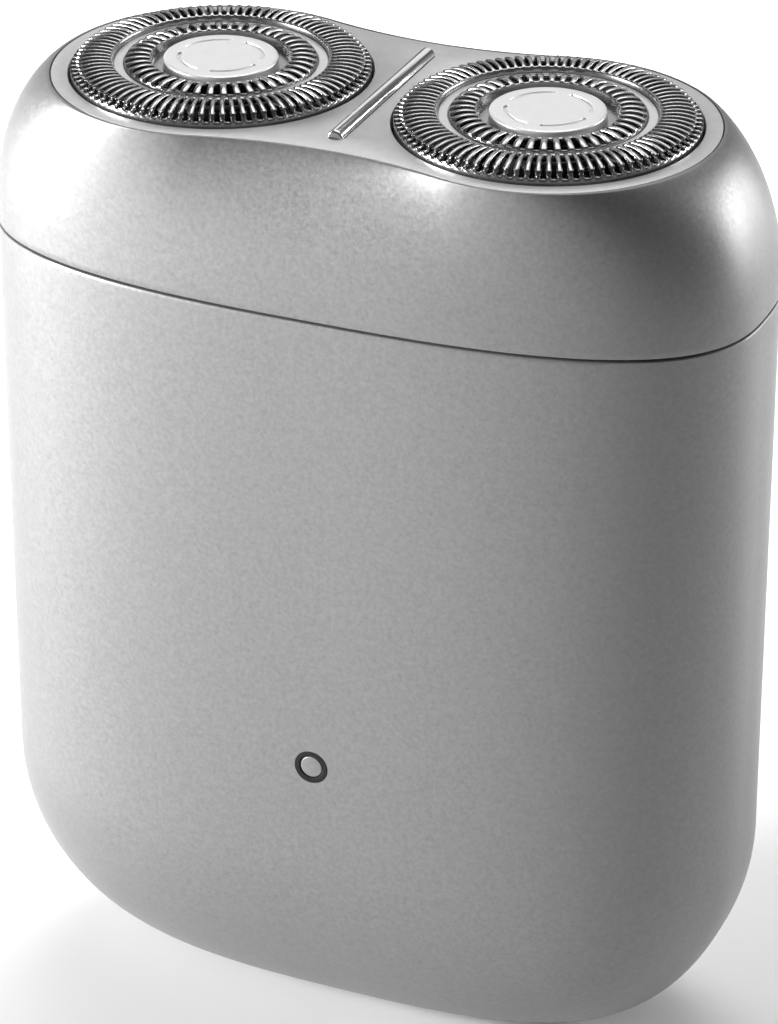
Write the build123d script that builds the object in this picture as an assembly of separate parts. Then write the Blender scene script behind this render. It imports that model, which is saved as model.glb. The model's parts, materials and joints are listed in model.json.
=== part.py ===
from build123d import *

import os
from math import acos, cos, pi, radians, sin, sqrt, tan

# Compact twin-head rotary travel shaver, in millimetres. +Z is up, the front faces -Y, and the
# origin is the middle of the flat base.

# ---------------------------------------------------------------- outer form
WIDTH = 58.0
DEPTH = 26.6
PLATE_Z = 72.0
OVAL_POWER = 2.77
BASE_ROUND_Z = 16.3
BASE_INSET_X = 15.05
BASE_INSET_Y = 8.9
SHOULDER_Z = 61.95
SHOULDER_POWER = 1.73
SHOULDER_END = 0.97
SEAM_Z = 60.0
SEAM_GAP = 0.25
HEAD_X = 12.5
LOBE_R = 12.15
WAIST_Y = 10.4
RIM = 0.25
OUTLINE_POINTS = 40

# ---------------------------------------------------------------- handle
WALL = 1.5
FLOOR = 2.0
BUTTON_Z = 24.2
BUTTON_R = 0.85
BUTTON_SEAL_R = 1.3
BUTTON_SEAL_BORE = 0.9
BUTTON_TRAVEL = 0.4
PORT_X = 8.94
PORT_Y = 3.26
BOARD_Y = -8.0
BOARD_T = 1.0
BOARD_SCREW_X = -10.5
BOARD_SCREW_Z = (13.0, 44.0)
LEAD_R = 0.35
CELL_X = 15.0
CELL_R = 7.0
CELL_Z = (8.3, 51.3)
TAB_T = 0.2
LEAD_X = 12.5
STRIP_Y = -7.4
TERMINAL_X = (-4.0, 4.0)
MOTOR_R = 7.5
MOTOR_FLAT_Y = 5.8
MOTOR_Z = (31.5, 52.5)
CAN_WALL = 0.8
SHAFT_R = 0.75

# ---------------------------------------------------------------- gear train
MODULE = 0.5
PINION_TEETH = 14
GEAR_TEETH = 36
PRESSURE = radians(20)
BACKLASH = 0.06
GEAR_PLATE_Z = (52.6, 54.2)
GEAR_Z = (54.9, 57.1)
AXLE_R = 0.75
RUNNING = 0.05
TOWER_R = 2.95
TOWER_TOP = 62.0
POCKET_AF = 4.2
SPINDLE_AF = 3.1
SOCKET_AF = 3.4
SPINDLE_Z = (59.6, 66.2)
DECK_Z = (58.0, 59.6)
DECK_SCREW = (22.6, 6.0)

# ---------------------------------------------------------------- shaving head
HEAD_WALL = 0.8
PLATE_T = 1.2
PLATE_LIP = 0.8
GUARD_R = 10.75
GUARD_TOP = 73.15
GUARD_T = 0.4
GUARD_HOLE_R = 10.95
FLANGE_R = 11.2
OUTER_TRACK = (7.9, 10.25)
GROOVE = (6.9, 7.7)
INNER_TRACK = (4.95, 6.7)
OUTER_SLOTS = 88
INNER_SLOTS = 44
SLOT_SHARE = 0.5
CAP_R = 4.1
CAP_TOP = 73.05
CENTRE_Z = 72.35
PIN_R = 1.0
BLADES = 9
BLADE_TOP = 72.6
BAR_R = 0.6
BAR_LENGTH = 16.8
RETAINER_Z = (63.0, 64.6)
RETAINER_SCREW_Y = 8.0
MAGNET_R = 2.0
MAGNET_Y = 3.4

UP = (Align.CENTER, Align.CENTER, Align.MIN)
SIDES = {"left": -HEAD_X, "right": HEAD_X}


# ---------------------------------------------------------------- plain shapes
def disc(radius, low, high, x=0, y=0):
    return Pos(x, y, low) * Cylinder(radius, high - low, align=UP)


def ring(outer, inner, low, high, x=0, y=0):
    return disc(outer, low, high, x, y) - disc(inner, low - 1, high + 1, x, y)


def slab(x, y, z):
    """A box from three (low, high) pairs."""
    size = [high - low for low, high in (x, y, z)]
    centre = [(high + low) / 2 for low, high in (x, y, z)]
    return Pos(*centre) * Box(*size)


def hexagon(across_flats, low, high, x=0, y=0):
    outline = RegularPolygon(across_flats / sqrt(3), 6)
    return Pos(x, y, low) * extrude(outline, high - low)


def stadium(length, width, low, high):
    outline = SlotOverall(length, width)
    return Pos(0, 0, low) * extrude(outline, high - low)


def turned(points, x=0):
    """A solid of revolution about Z from (radius, z) points."""
    outline = make_face(Polyline(*[(r, 0, z) for r, z in points], close=True))
    return Pos(x, 0, 0) * revolve(outline, Axis.Z)


def around(shape, count, x=0, y=0, start=0.0):
    """The shape, made on the +X side of the Z axis, repeated about an upright axis at x, y."""
    step = 360 / count
    return [Pos(x, y, 0) * Rot(0, 0, start + i * step) * shape for i in range(count)]


def screw(x, y, top, length, head_r, thread_r, downwards=True):
    """A cylinder-head screw with a hexagon socket; its head's outer face is at top."""
    head = disc(head_r, -0.8, 0.0) - hexagon(head_r, -0.5, 0.5)
    body = head + disc(thread_r, -0.8 - length, -0.8)
    if not downwards:
        body = Rot(180, 0, 0) * body
    return Pos(x, y, top) * body


def spring(radius, wire_r, low, high, turns, x=0):
    """A round-wire coil whose wire lies between low and high."""
    rise = high - low - 2 * wire_r
    path = Helix(pitch=rise / turns, height=rise, radius=radius)
    section = Plane(origin=path @ 0, z_dir=path % 0) * Circle(wire_r)
    return Pos(x, 0, low + wire_r) * sweep(section, path=path, is_frenet=True)


# ---------------------------------------------------------------- outer form
def oval_points(half_x, half_y):
    """Points on a superellipse, evenly turned about its middle."""
    points = []
    for i in range(OUTLINE_POINTS):
        angle = 2 * pi * i / OUTLINE_POINTS
        c, s = cos(angle), sin(angle)
        reach = (abs(c) ** OVAL_POWER + abs(s) ** OVAL_POWER) ** (-1 / OVAL_POWER)
        points.append((half_x * reach * c, half_y * reach * s))
    return points


def lobe_half_depth(x, lobe_r, waist_y):
    """Half depth of the two-lobed outline at x: two round ends joined by hollow tangent arcs."""
    hollow_r = (waist_y**2 + HEAD_X**2 - lobe_r**2) / (2 * (lobe_r - waist_y))
    tangent_x = HEAD_X * hollow_r / (hollow_r + lobe_r)
    if abs(x) < tangent_x:
        return waist_y + hollow_r - sqrt(hollow_r**2 - x**2)
    return sqrt(max(lobe_r**2 - (abs(x) - HEAD_X) ** 2, 0.0))


def shoulder_share(z):
    """How far the section has gone from the oval to the two-lobed outline, 0 to 1."""
    def rounding(t):
        return 1 - (1 - t**SHOULDER_POWER) ** (1 / SHOULDER_POWER)

    t = SHOULDER_END * (z - SHOULDER_Z) / (PLATE_Z - SHOULDER_Z)
    return rounding(max(t, 0.0)) / rounding(SHOULDER_END)


def head_points(z, inset):
    """The head's outline at z, drawn in by inset."""
    half_x, half_y = WIDTH / 2 - inset, DEPTH / 2 - inset
    lobe_r, waist_y = LOBE_R + RIM - inset, WAIST_Y + RIM - inset
    share = shoulder_share(z)
    points = []
    for x, y in oval_points(half_x, half_y):
        top_x = x / half_x * (HEAD_X + lobe_r)
        top_y = lobe_half_depth(top_x, lobe_r, waist_y)
        top_y = top_y if y >= 0 else -top_y
        points.append((x + (top_x - x) * share, y + (top_y - y) * share))
    return points


def base_half_sizes(z):
    """Half width and half depth of the handle at z, rounded in towards the base."""
    t = min(max((BASE_ROUND_Z - z) / BASE_ROUND_Z, 0.0), 1.0)
    drawn_in = 1 - sqrt(1 - t * t)
    return WIDTH / 2 - BASE_INSET_X * drawn_in, DEPTH / 2 - BASE_INSET_Y * drawn_in


def closed_face(points, z):
    return make_face(Spline(*[(x, y, z) for x, y in points], periodic=True))


def oval_prism(inset, low, high):
    """An upright prism of the handle's full section, drawn in by inset."""
    outline = closed_face(oval_points(WIDTH / 2 - inset, DEPTH / 2 - inset), low)
    return extrude(outline, high - low)


def handle_form(inset, low, high):
    """The handle's outer form drawn in by inset, from low to high."""
    steps = 7
    start = acos(min(1.0, (BASE_ROUND_Z - low) / BASE_ROUND_Z))
    faces = []
    for i in range(steps + 1):
        angle = start + (pi / 2 - start) * i / steps
        z = BASE_ROUND_Z * (1 - cos(angle))
        half_x, half_y = base_half_sizes(z)
        faces.append(closed_face(oval_points(half_x - inset, half_y - inset), z))
    return loft(faces) + oval_prism(inset, BASE_ROUND_Z, high)


def head_form(inset, low, high):
    """The head's outer form drawn in by inset, from low to high."""
    steps = 8
    faces = []
    for i in range(steps + 1):
        share = sin(pi / 2 * i / steps)
        z = low + (high - low) * share
        faces.append(closed_face(head_points(z, inset), z))
    return loft(faces)


def lobed_prism(lobe_r, waist_y, low, high):
    """An upright prism of the two-lobed plate outline, in true arcs."""
    hollow_r = (waist_y**2 + HEAD_X**2 - lobe_r**2) / (2 * (lobe_r - waist_y))
    tangent_x = HEAD_X * hollow_r / (hollow_r + lobe_r)
    tangent_y = lobe_half_depth(tangent_x, lobe_r, waist_y)
    end_x = HEAD_X + lobe_r
    edges = [
        ThreePointArc((tangent_x, -tangent_y), (end_x, 0), (tangent_x, tangent_y)),
        ThreePointArc((tangent_x, tangent_y), (0, waist_y), (-tangent_x, tangent_y)),
        ThreePointArc((-tangent_x, tangent_y), (-end_x, 0), (-tangent_x, -tangent_y)),
        ThreePointArc((-tangent_x, -tangent_y), (0, -waist_y), (tangent_x, -tangent_y)),
    ]
    outline = make_face(Wire(edges))
    return Pos(0, 0, low) * extrude(outline, high - low)


# ---------------------------------------------------------------- handle shell and port
def main_housing():
    body = handle_form(0, 0, SEAM_Z) - handle_form(WALL, FLOOR, SEAM_Z + 1)
    body -= stadium(PORT_X + 0.8, PORT_Y + 0.8, -1, FLOOR + 1)
    return body - lying(BUTTON_SEAL_R + 0.01, -DEPTH / 2 - 1, -DEPTH / 2 + WALL + 1)


def port_bezel():
    sleeve = stadium(PORT_X + 0.78, PORT_Y + 0.78, 0, FLOOR)
    return sleeve - stadium(PORT_X + 0.1, PORT_Y + 0.1, -1, FLOOR + 1)


def usb_c_shell():
    outside = stadium(PORT_X, PORT_Y, 0.5, 7.95)
    inside = stadium(PORT_X - 0.5, PORT_Y - 0.5, 0, 7.45)
    return outside - inside


def usb_c_tongue():
    tongue = slab((-3.35, 3.35), (-0.35, 0.35), (1.3, 7.45))
    root = slab((-3.6, 3.6), (-0.9, 0.9), (6.4, 7.45))
    return tongue + root


def port_board():
    return slab((-7, 7), (-5, 5), (8.0, 9.0))


# ---------------------------------------------------------------- button
def lying(radius, front, back, x=0, z=BUTTON_Z):
    """A round bar along Y between two depths, on the button's axis unless told otherwise."""
    middle = (front + back) / 2
    return Pos(x, middle, z) * Rot(90, 0, 0) * Cylinder(radius, back - front)


def button_seal():
    body = lying(BUTTON_SEAL_R, -13.28, -11.75) + lying(2.1, -11.75, -11.25)
    return body - lying(BUTTON_SEAL_BORE, -14, -11)


def power_button():
    cap = lying(BUTTON_R, -13.25, -10.9)
    flange = lying(1.6, -10.9, -10.3)
    tip = lying(0.6, -10.3, -9.6)
    return cap + flange + tip


def power_switch():
    half = 1.8
    case = slab((-half, half), (-8.9, BOARD_Y), (BUTTON_Z - half, BUTTON_Z + half))
    return case + lying(0.8, -9.15, -8.9)


# ---------------------------------------------------------------- electrics
def circuit_board():
    board = slab((-14, 9), (BOARD_Y, BOARD_Y + BOARD_T), (9.5, 47))
    for z in BOARD_SCREW_Z:
        board -= lying(0.8, BOARD_Y - 1, BOARD_Y + 2, BOARD_SCREW_X, z)
    return board


def board_screws():
    screws = []
    for z in BOARD_SCREW_Z:
        head = lying(1.2, BOARD_Y - 0.8, BOARD_Y, BOARD_SCREW_X, z)
        head -= slab((-20, 0), (BOARD_Y - 1, BOARD_Y - 0.5), (z - 0.15, z + 0.15))
        screws.append(head + lying(0.5, BOARD_Y, BOARD_Y + 4, BOARD_SCREW_X, z))
    return Compound(children=screws)


def board_chips():
    places = [(-9, 33, 4.0, 4.0), (-3, 37, 3.0, 3.0), (4, 33, 5.0, 3.6), (-7, 17, 4.4, 2.4)]
    chips = []
    for x, z, wide, tall in places:
        x_range = (x - wide / 2, x + wide / 2)
        z_range = (z - tall / 2, z + tall / 2)
        chips.append(slab(x_range, (BOARD_Y - 1.0, BOARD_Y), z_range))
    return Compound(children=chips)


def charge_led():
    return slab((-0.8, 0.8), (BOARD_Y - 0.7, BOARD_Y), (28.0, 29.0))


def battery_cell():
    low, high = CELL_Z
    body = fillet(disc(CELL_R, low, high, CELL_X).edges(), 0.5)
    return body


def battery_tabs():
    low, high = CELL_Z
    half = 2.0
    top = slab((CELL_X - 5, CELL_X + 2), (-half, half), (high, high + TAB_T))
    strip_x = (LEAD_X - 1, LEAD_X + 1)
    bottom = slab(strip_x, (STRIP_Y, half), (low - TAB_T, low))
    bottom += slab(strip_x, (STRIP_Y, STRIP_Y + TAB_T), (low - TAB_T, low + 6))
    return Compound(children=[top, bottom])


def battery_leads():
    """A lead from the top tab over the cell's edge to the board, and one from the strip below."""
    high = CELL_Z[1] + TAB_T + LEAD_R
    lead_y = STRIP_Y - LEAD_R
    route = [(LEAD_X, -1, high), (LEAD_X, lead_y, high), (LEAD_X, lead_y, 44), (9, lead_y, 44)]
    path = FilletPolyline(*route, radius=1.4)
    section = Plane(origin=path @ 0, z_dir=path % 0) * Circle(LEAD_R)
    upper = sweep(section, path=path)
    lower = Pos(9, lead_y, 13) * Rot(0, 90, 0) * Cylinder(LEAD_R, LEAD_X - 9, align=UP)
    return Compound(children=[upper, lower])


def motor_leads():
    z = MOTOR_Z[0] - 2.2
    leads = [lying(LEAD_R, BOARD_Y + BOARD_T, 3.0, x, z) for x in TERMINAL_X]
    return Compound(children=leads)


def flat_sided(radius, half_y, low, high):
    """A round bar with two flats, as a motor's can has."""
    return disc(radius, low, high) & slab((-radius, radius), (-half_y, half_y), (low, high))


def motor_can():
    low, high = MOTOR_Z
    body = flat_sided(MOTOR_R, MOTOR_FLAT_Y, low, high)
    inside = (MOTOR_R - CAN_WALL, MOTOR_FLAT_Y - CAN_WALL)
    body -= flat_sided(*inside, low - 1, high - CAN_WALL)
    body += disc(2.0, high, high + 0.8)
    body -= disc(SHAFT_R + RUNNING, low, high + 2)
    for y in (-4.4, 4.4):
        body -= disc(0.82, high - 2, high + 1, 0, y)
    return body


def motor_end_cap():
    low = MOTOR_Z[0]
    plug = flat_sided(MOTOR_R - CAN_WALL, MOTOR_FLAT_Y - CAN_WALL, low, low + 1.6)
    rim = flat_sided(MOTOR_R, MOTOR_FLAT_Y, low - 1.2, low)
    body = plug + rim
    body -= disc(SHAFT_R + RUNNING, low - 0.4, low + 2)
    for x in TERMINAL_X:
        body -= slab((x - 0.25, x + 0.25), (2.9, 4.1), (low - 2, low + 2))
    return body


def motor_terminals():
    low = MOTOR_Z[0]
    blades = [slab((x - 0.2, x + 0.2), (3.0, 4.0), (low - 3.0, low + 1.2)) for x in TERMINAL_X]
    return Compound(children=blades)


def motor_armature():
    """Three wound poles on a laminated core, turning with the shaft."""
    low, high = MOTOR_Z[0] + 3.2, MOTOR_Z[1] - 2.4
    core = ring(4.6, SHAFT_R, low, high)
    slot = slab((2.4, 5.2), (-0.5, 0.5), (low - 1, high + 1))
    for cut in around(slot, 3, start=60):
        core -= cut
    return core


def motor_shaft():
    return disc(SHAFT_R, MOTOR_Z[0] - 0.35, GEAR_Z[1] + 0.2)


# ---------------------------------------------------------------- gears and spindles
def gear_face(teeth, start):
    """An involute outline; start is the angle of its first tooth, in degrees."""
    pitch_r = MODULE * teeth / 2
    base_r = pitch_r * cos(PRESSURE)
    tip_r = pitch_r + 0.9 * MODULE
    root_r = pitch_r - 1.25 * MODULE
    at_pitch = pi / 2 / teeth - BACKLASH / 2 / pitch_r + tan(PRESSURE) - PRESSURE

    def half_angle(radius):
        pressure = acos(min(1.0, base_r / radius))
        return at_pitch - (tan(pressure) - pressure)

    points = []
    for i in range(teeth):
        middle = radians(start) + 2 * pi * i / teeth
        flank = [(root_r, half_angle(base_r)), (max(base_r, root_r), half_angle(base_r))]
        flank += [(pitch_r, half_angle(pitch_r)), (tip_r, half_angle(tip_r))]
        side = [(r, middle - half) for r, half in flank]
        side += [(r, middle + half) for r, half in reversed(flank)]
        points += [(r * cos(a), r * sin(a)) for r, a in side]
    return make_face(Polyline(*points, close=True))


def drive_pinion():
    low, high = GEAR_Z[0] - 0.2, GEAR_Z[1] + 0.2
    wheel = Pos(0, 0, low) * extrude(gear_face(PINION_TEETH, 0), high - low)
    return wheel - disc(SHAFT_R, low - 1, high + 1)


def drive_gear(x):
    low, high = GEAR_Z
    wheel = extrude(gear_face(GEAR_TEETH, 180 / GEAR_TEETH), high - low)
    body = Pos(x, 0, low) * wheel + disc(TOWER_R, high, TOWER_TOP, x)
    body -= disc(AXLE_R + RUNNING, low - 1, 56.6, x)
    body -= hexagon(POCKET_AF, 57.0, TOWER_TOP - 0.6, x)
    body -= hexagon(SOCKET_AF, 57.0, TOWER_TOP + 1, x)
    for web in around(disc(1.1, low - 1, high + 1, 5.9), 6, x):
        body -= web
    return body


def gear_axle(x):
    return disc(AXLE_R, GEAR_PLATE_Z[0] + 0.2, 56.5, x)


def spindle(x):
    low, high = SPINDLE_Z
    foot = hexagon(POCKET_AF - 0.3, low, low + 0.9, x)
    return foot + hexagon(SPINDLE_AF, low, high, x)


def spindle_spring(x):
    return spring(1.3, 0.2, 57.05, SPINDLE_Z[0] - 0.05, 3, x)


def gear_plate():
    low, high = GEAR_PLATE_Z
    plate = oval_prism(WALL + 0.3, low, high)
    plate -= disc(2.15, low - 1, high + 1)
    for x in SIDES.values():
        plate -= disc(AXLE_R, low + 0.2, high + 1, x)
    for y in (-4.4, 4.4):
        plate -= disc(0.85, low - 1, high + 1, 0, y)
        plate -= disc(1.4, high - 0.85, high + 1, 0, y)
    for x, y in corners(*DECK_SCREW):
        plate += ring(1.8, 0.6, high, DECK_Z[0], x, y)
    return plate


def corners(x, y):
    return [(sx * x, sy * y) for sx in (-1, 1) for sy in (-1, 1)]


def motor_screws():
    screws = [screw(0, y, GEAR_PLATE_Z[1] - 0.05, 1.6, 1.3, 0.8) for y in (-4.4, 4.4)]
    return Compound(children=screws)


# ---------------------------------------------------------------- deck
def chassis_deck():
    low, high = DECK_Z
    collar_top = 62.0
    body = oval_prism(WALL + 0.2, low, SEAM_Z)
    body += oval_prism(0.6, SEAM_Z, SEAM_Z + 0.15)
    body += oval_prism(1.1, SEAM_Z + 0.15, collar_top)
    body -= oval_prism(2.4, high, collar_top + 1)
    groove = oval_prism(0, low + 0.5, low + 1.1) - oval_prism(WALL + 0.7, low, high)
    body -= groove
    for x in SIDES.values():
        body -= disc(3.9, low + 0.6, high + 1, x)
        body -= disc(TOWER_R + 0.3, low - 1, high + 1, x)
    for x, y in corners(*DECK_SCREW):
        body -= disc(0.85, low - 1, high + 1, x, y)
        body -= disc(1.6, high - 0.85, high + 1, x, y)
    for y in (-MAGNET_Y, MAGNET_Y):
        body -= disc(MAGNET_R + 0.02, low + 0.3, high + 1, 0, y)
    return body


def deck_seal():
    low = DECK_Z[0]
    return oval_prism(WALL + 0.03, low + 0.5, low + 1.1) - oval_prism(WALL + 0.7, low, low + 2)


def deck_screws():
    top = DECK_Z[1] - 0.05
    screws = [screw(x, y, top, 3.2, 1.45, 0.6) for x, y in corners(*DECK_SCREW)]
    return Compound(children=screws)


def spindle_seal(x):
    low, high = DECK_Z[0] + 0.6, DECK_Z[1]
    lip = ring(3.5, TOWER_R + 0.1, high - 0.3, high + 0.4, x)
    return ring(3.88, 3.2, low, high, x) + lip


def magnets(low, high):
    pair = [disc(MAGNET_R, low, high, 0, y) for y in (-MAGNET_Y, MAGNET_Y)]
    return Compound(children=pair)


# ---------------------------------------------------------------- inner chassis
def inner_chassis():
    """A moulded tray: a rear wall, three shelves and a front rib that the board leans on."""
    space = handle_form(WALL + 0.3, 6.6, GEAR_PLATE_Z[0] - 0.1)
    half = WIDTH / 2
    keep = slab((-half, half), (8.4, 9.6), (6.6, 52.5))
    for low, high in ((6.6, 8.0), (27.0, 28.4), (50.0, 52.5)):
        keep += slab((-half, half), (-6.4, 9.6), (low, high))
    keep += slab((-17.1, -15.9), (-6.4, 9.6), (6.6, 52.5))
    keep += slab((-11.7, -9.3), (BOARD_Y + BOARD_T, 9.6), (6.6, 52.5))
    body = space & keep
    body -= disc(CELL_R + 0.2, CELL_Z[0] - 0.25, 60, CELL_X)
    body -= flat_sided(MOTOR_R + 0.2, MOTOR_FLAT_Y + 0.2, MOTOR_Z[0] - 1.3, 60)
    body -= stadium(PORT_X + 0.4, PORT_Y + 0.4, 0, 10)
    for z in BOARD_SCREW_Z:
        body -= lying(0.52, BOARD_Y, BOARD_Y + 4.5, BOARD_SCREW_X, z)
    return body


# ---------------------------------------------------------------- shaving head
def head_housing():
    low = SEAM_Z + SEAM_GAP
    body = head_form(0, low, PLATE_Z)
    body -= head_form(HEAD_WALL, low - 0.5, PLATE_Z - PLATE_LIP)
    mouth = lobed_prism(LOBE_R + 0.05, WAIST_Y + 0.05, PLATE_Z - PLATE_LIP, PLATE_Z + 1)
    body -= mouth
    rib = closed_face(head_points(65.0, HEAD_WALL - 0.3), RETAINER_Z[1] + 0.05)
    opening = closed_face(head_points(65.0, HEAD_WALL + 0.7), RETAINER_Z[1] - 1)
    body += extrude(rib, 0.8) - extrude(opening, 4)
    return body


def head_plate():
    body = lobed_prism(LOBE_R, WAIST_Y, PLATE_Z - PLATE_LIP, PLATE_Z)
    body += lobed_prism(LOBE_R - 1.0, WAIST_Y - 1.0, PLATE_Z - PLATE_T, PLATE_Z - PLATE_LIP)
    for x in SIDES.values():
        body -= disc(GUARD_HOLE_R, 60, 80, x)
    for y in (-RETAINER_SCREW_Y, RETAINER_SCREW_Y):
        boss_low = RETAINER_Z[1] + 0.05
        body += ring(1.4, 0.6, boss_low, PLATE_Z - PLATE_T, 0, y)
        body -= disc(0.6, boss_low - 1, PLATE_Z - PLATE_T - 0.1, 0, y)
    return body - bar(0.02)


def bar(clearance=0.0):
    """The rounded rod that lies along Y between the two guards, a little proud of the plate."""
    rod = Cylinder(BAR_R + clearance, BAR_LENGTH + 2 * clearance)
    return Pos(0, 0, PLATE_Z - 0.05) * Rot(90, 0, 0) * rod


def cutter_retainer():
    low, high = RETAINER_Z
    outline = closed_face(head_points(low, HEAD_WALL + 0.3), low)
    body = extrude(outline, high - low)
    for x in SIDES.values():
        body += ring(10.2, 9.0, high, high + 0.5, x)
        windows = ring(8.4, 5.6, low - 1, high + 1, x)
        for arm in around(slab((4, 9), (-0.8, 0.8), (low - 2, high + 2)), 6, x, start=30):
            windows -= arm
        body -= windows
        body -= disc(4.3, low - 1, high + 1, x)
    for y in (-MAGNET_Y, MAGNET_Y):
        body += disc(MAGNET_R + 0.7, SEAM_Z + 0.6, low, 0, y)
        body -= disc(MAGNET_R + 0.02, SEAM_Z, low - 0.7, 0, y)
    for y in (-RETAINER_SCREW_Y, RETAINER_SCREW_Y):
        body -= disc(0.8, low - 1, high + 1, 0, y)
        body -= disc(1.5, low - 1, low + 0.85, 0, y)
    return body


def retainer_screws():
    places = (-RETAINER_SCREW_Y, RETAINER_SCREW_Y)
    top = RETAINER_Z[0] + 0.05
    screws = [screw(0, y, top, 4.0, 1.35, 0.6, downwards=False) for y in places]
    return Compound(children=screws)


# ---------------------------------------------------------------- guards and cutters
def foil_guard(x):
    """The pressed steel cup with two slotted tracks, a groove between them and a flange."""
    under = GUARD_TOP - GUARD_T
    wall = 0.35
    outside = [
        (FLANGE_R, 70.2), (FLANGE_R, 70.7), (GUARD_R, 70.7), (GUARD_R, 72.55),
        (GUARD_R - 0.15, 72.9), (OUTER_TRACK[1], GUARD_TOP), (OUTER_TRACK[0], GUARD_TOP),
        (GROOVE[1], GUARD_TOP - 0.2), (GROOVE[1], 72.55), (GROOVE[0], 72.55),
        (GROOVE[0], GUARD_TOP - 0.2), (INNER_TRACK[1], GUARD_TOP),
        (INNER_TRACK[0], GUARD_TOP), (INNER_TRACK[0], CENTRE_Z), (PIN_R + 0.02, CENTRE_Z),
    ]
    inside = [
        (PIN_R + 0.02, CENTRE_Z - GUARD_T), (INNER_TRACK[0] + wall, CENTRE_Z - GUARD_T),
        (INNER_TRACK[0] + wall, under), (GROOVE[0] - wall, under),
        (GROOVE[0] - wall, 72.2), (GROOVE[1] + wall, 72.2), (GROOVE[1] + wall, under),
        (10.05, under), (GUARD_R - GUARD_T, 72.45), (GUARD_R - GUARD_T, 70.2),
    ]
    body = turned(outside + inside)
    slots = track_slots(OUTER_SLOTS, 8.2, 10.0) + track_slots(INNER_SLOTS, 5.45, 6.4)
    return Pos(x, 0, 0) * (body - slots)


def track_slots(count, inner, outer):
    """Radial slots through the flat of one track."""
    half = pi * inner / count * SLOT_SHARE
    blank = slab((inner, outer), (-half, half), (GUARD_TOP - 0.6, GUARD_TOP + 0.3))
    return around(blank, count, start=180 / count)


def guard_cap(x):
    low = CENTRE_Z
    body = disc(CAP_R, low, CAP_TOP, x) + disc(PIN_R, 67.9, low, x)
    arcs = ring(3.12, 2.88, CAP_TOP - 0.08, CAP_TOP + 1, x)
    for turn in (0, 90):
        gap = Rot(0, 0, turn) * slab((-5, 5), (-0.5, 0.5), (CAP_TOP - 2, CAP_TOP + 2))
        arcs -= Pos(x, 0, 0) * gap
    return body - arcs


def guard_collar(x):
    return ring(GUARD_R - GUARD_T, 9.95, 68.2, 71.0, x)


def guard_spring(x):
    return spring(9.6, 0.22, RETAINER_Z[1] + 0.55, 68.15, 3, x)


def cutter_blades(x):
    low, high = 69.9, 70.3
    fins = [ring(9.6, 3.5, low, high)]
    outer = Pos(0, 0, high - 0.05) * Box(1.3, 0.3, BLADE_TOP - high + 0.05, align=UP)
    inner = Pos(0, 0, high - 0.05) * Box(0.85, 0.3, BLADE_TOP - high + 0.05, align=UP)
    fins += around(Pos(8.95, 0, 0) * Rot(0, 0, 25) * outer, BLADES)
    fins += around(Pos(5.925, 0, 0) * Rot(0, 0, 15) * inner, BLADES)
    body = fins[0]
    for fin in fins[1:]:
        body += fin
    return Pos(x, 0, 0) * body


def cutter_carrier(x):
    body = disc(3.1, 64.0, 68.0, x) + disc(8.6, 68.0, 69.9, x) + disc(3.4, 69.9, 71.2, x)
    body -= hexagon(SOCKET_AF, 63, 66.4, x)
    body -= disc(PIN_R + 0.07, 67.2, 72, x)
    for opening in around(disc(1.1, 67, 71, 6.0), BLADES, x):
        body -= opening
    return body


# ---------------------------------------------------------------- files
def parts():
    """Every node's name and solid."""
    made = {
        "main_housing": main_housing(),
        "port_bezel": port_bezel(),
        "usb_c_shell": usb_c_shell(),
        "usb_c_tongue": usb_c_tongue(),
        "port_board": port_board(),
        "button_seal": button_seal(),
        "power_button": power_button(),
        "power_switch": power_switch(),
        "circuit_board": circuit_board(),
        "board_chips": board_chips(),
        "board_screws": board_screws(),
        "charge_led": charge_led(),
        "battery_cell": battery_cell(),
        "battery_tabs": battery_tabs(),
        "battery_leads": battery_leads(),
        "motor_leads": motor_leads(),
        "motor_can": motor_can(),
        "motor_end_cap": motor_end_cap(),
        "motor_terminals": motor_terminals(),
        "motor_armature": motor_armature(),
        "motor_shaft": motor_shaft(),
        "motor_screws": motor_screws(),
        "drive_pinion": drive_pinion(),
        "gear_plate": gear_plate(),
        "inner_chassis": inner_chassis(),
        "chassis_deck": chassis_deck(),
        "deck_seal": deck_seal(),
        "deck_screws": deck_screws(),
        "handle_magnets": magnets(DECK_Z[0] + 0.3, DECK_Z[1] - 0.05),
        "head_housing": head_housing(),
        "head_plate": head_plate(),
        "skin_guide_bar": bar(),
        "cutter_retainer": cutter_retainer(),
        "retainer_screws": retainer_screws(),
        "head_magnets": magnets(SEAM_Z + 0.7, RETAINER_Z[0] - 0.72),
    }
    for side, x in SIDES.items():
        made[side + "_gear_axle"] = gear_axle(x)
        made[side + "_drive_gear"] = drive_gear(x)
        made[side + "_spindle"] = spindle(x)
        made[side + "_spindle_spring"] = spindle_spring(x)
        made[side + "_spindle_seal"] = spindle_seal(x)
        made[side + "_foil_guard"] = foil_guard(x)
        made[side + "_guard_cap"] = guard_cap(x)
        made[side + "_guard_collar"] = guard_collar(x)
        made[side + "_guard_spring"] = guard_spring(x)
        made[side + "_cutter_blades"] = cutter_blades(x)
        made[side + "_cutter_carrier"] = cutter_carrier(x)
    return made


os.makedirs("parts", exist_ok=True)
for name, shape in parts().items():
    export_step(shape, f"parts/{name}.step")
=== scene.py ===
import json
from math import acos, atan2, cos, hypot, pi, radians, sin, sqrt

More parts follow.
